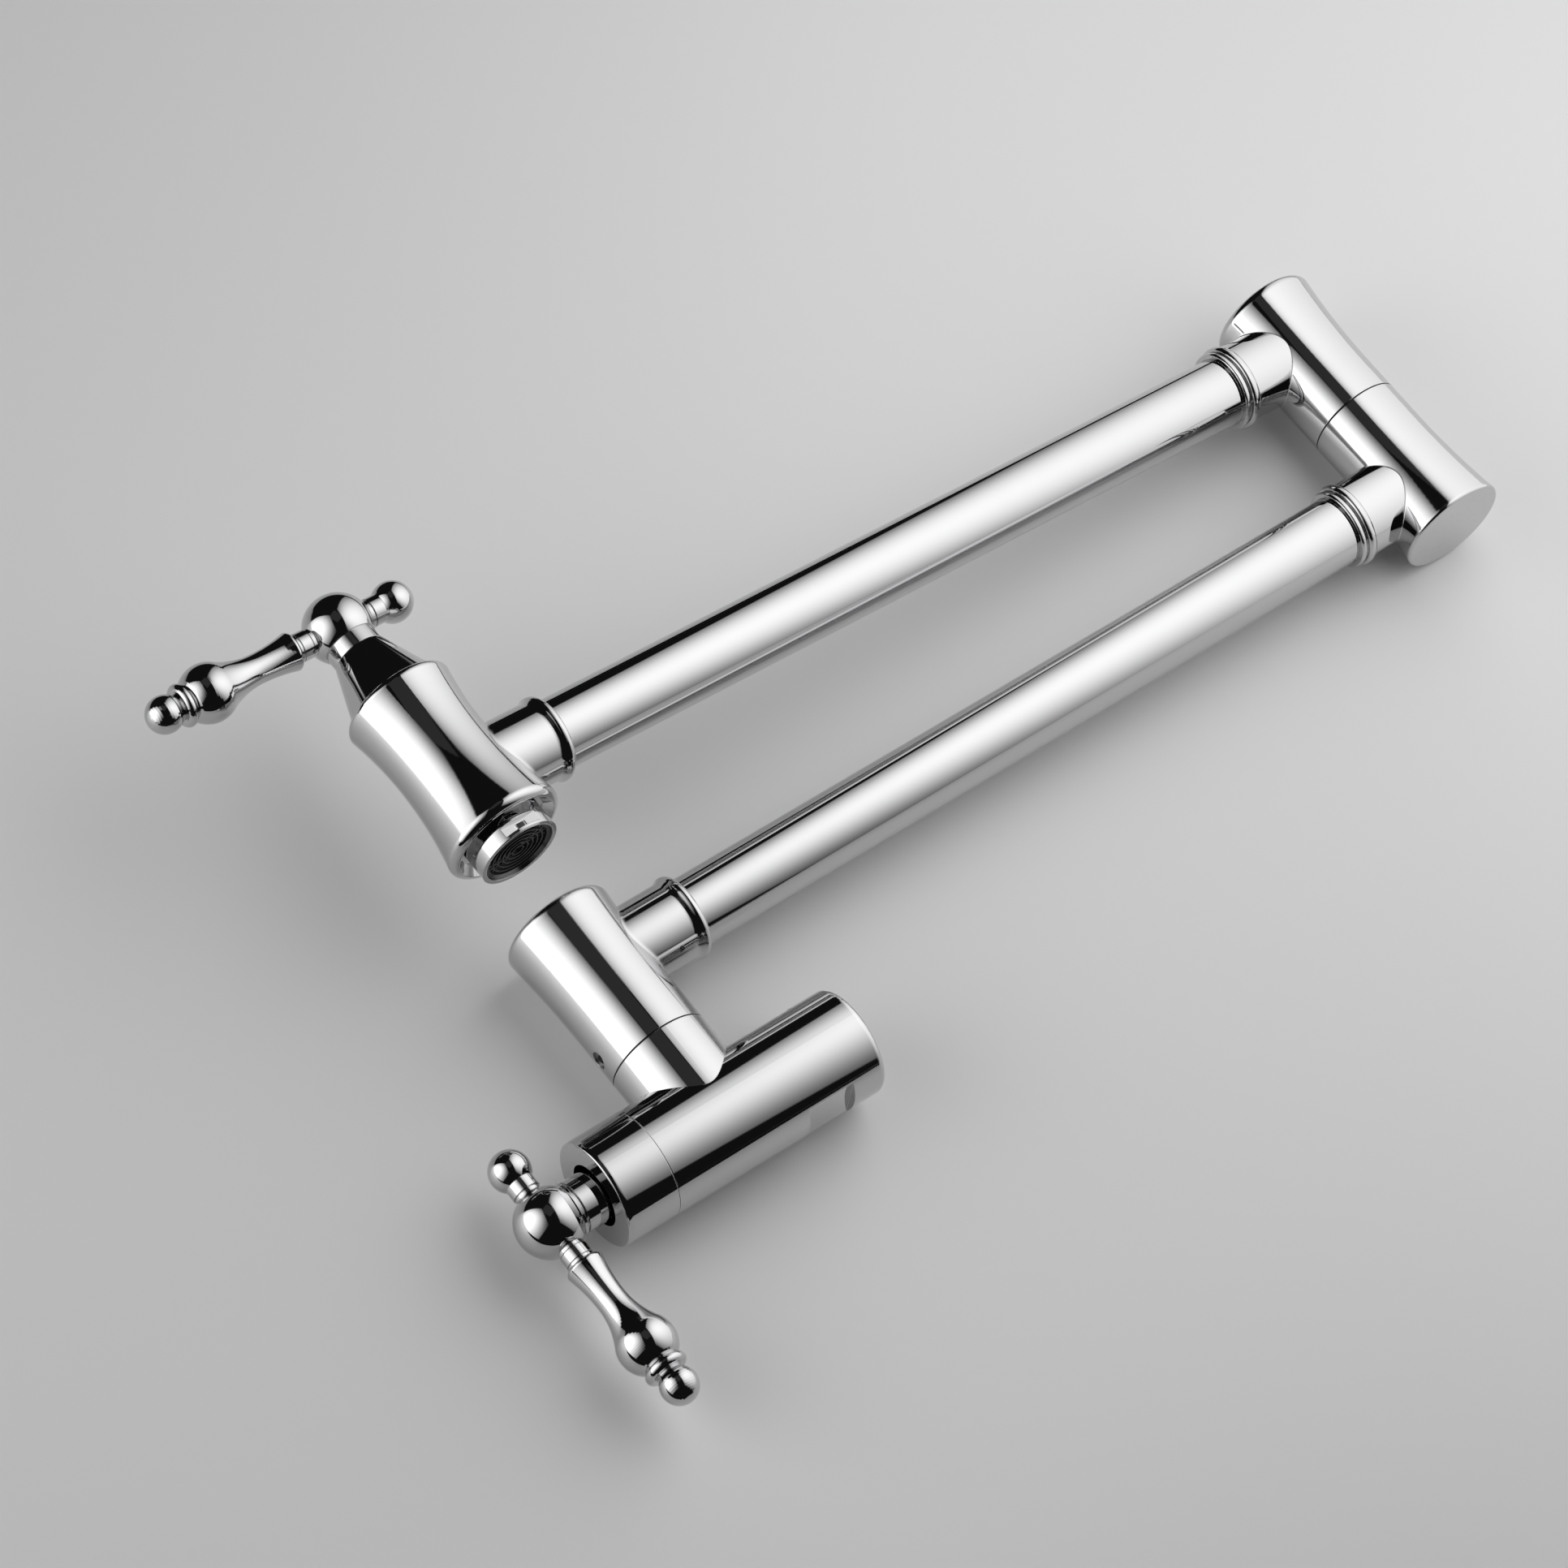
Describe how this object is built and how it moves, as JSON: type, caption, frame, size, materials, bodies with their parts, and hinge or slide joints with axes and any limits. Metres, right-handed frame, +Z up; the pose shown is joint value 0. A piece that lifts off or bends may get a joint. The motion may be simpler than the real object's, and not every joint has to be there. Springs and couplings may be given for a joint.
{
  "type": "folding wall-mounted pot filler faucet",
  "caption": "Wall-mounted folding spout with swivel arms, quarter-turn valves at the wall and at the outlet, and lever handles.",
  "frame": {"origin": "centre of the inlet valve's wall face, on the axis of its wall thread", "axes": "+Y points into the wall along the wall thread, +Z is up along the swivel axes, +X is to the right of a person who faces the wall"},
  "size_m": [0.0623, 0.371, 0.2357],
  "materials": {
    "chrome": "mirror-polished chrome plate on brass",
    "brass": "bare machined",
    "steel": "bright stainless",
    "rubber": "matte",
    "ceramic": "lapped smooth",
    "slip_plastic": "smooth",
    "black_plastic": "moulded, satin"
  },
  "bodies": {
    "base": {"inlet_body": "chrome", "inlet_strainer": "steel", "inlet_cover": "chrome", "inlet_cartridge_body": "brass", "inlet_cartridge_ring": "rubber", "inlet_seat_seal": "rubber", "inlet_fixed_disc": "ceramic", "stub_spigot": "brass", "stub_spigot_seals": "rubber", "stub_washer": "slip_plastic"},
    "inlet_handle": {"inlet_stem": "brass", "inlet_turning_disc": "ceramic", "inlet_stem_seal": "rubber", "inlet_thrust_ring": "slip_plastic", "inlet_stem_clip": "steel", "inlet_handle_hub": "chrome", "inlet_handle_lever": "chrome", "inlet_handle_knob": "chrome", "inlet_handle_screw": "steel"},
    "lower_arm": {"lower_knuckle": "chrome", "lower_knuckle_screw": "steel", "lower_tube": "chrome", "lower_jam_ring": "chrome", "lower_tube_seal": "rubber", "lower_elbow": "chrome", "elbow_spigot": "brass", "elbow_spigot_seals": "rubber", "elbow_washer": "slip_plastic"},
    "upper_arm": {"upper_elbow": "chrome", "upper_elbow_screw": "steel", "upper_tube": "chrome", "upper_jam_ring": "chrome", "upper_tube_seal": "rubber", "outlet_body": "chrome", "outlet_bonnet": "chrome", "outlet_cartridge_body": "brass", "outlet_cartridge_ring": "rubber", "outlet_seat_seal": "rubber", "outlet_fixed_disc": "ceramic", "aerator_housing": "chrome", "aerator_washer": "rubber", "aerator_insert": "black_plastic"},
    "outlet_handle": {"outlet_stem": "brass", "outlet_turning_disc": "ceramic", "outlet_stem_seal": "rubber", "outlet_thrust_ring": "slip_plastic", "outlet_stem_clip": "steel", "outlet_handle_hub": "chrome", "outlet_handle_lever": "chrome", "outlet_handle_knob": "chrome", "outlet_handle_screw": "steel"}
  },
  "joints": [
    {"name": "lower_arm_swivel", "type": "hinge", "parent": "base", "child": "lower_arm", "pos_m": [0, -0.045, 0.0252], "axis": [0, 0, 1], "continuous": true},
    {"name": "elbow_swivel", "type": "hinge", "parent": "lower_arm", "child": "upper_arm", "pos_m": [0, 0.242, 0.081], "axis": [0, 0, 1], "continuous": true},
    {"name": "inlet_handle_turn", "type": "hinge", "parent": "base", "child": "inlet_handle", "pos_m": [0, -0.0985, 0], "axis": [0, -1, 0], "range_deg": [0, 90]},
    {"name": "outlet_handle_turn", "type": "hinge", "parent": "upper_arm", "child": "outlet_handle", "pos_m": [0.02883, -0.05199, 0.1644], "axis": [0, 0, 1], "range_deg": [0, 90]}
  ]
}
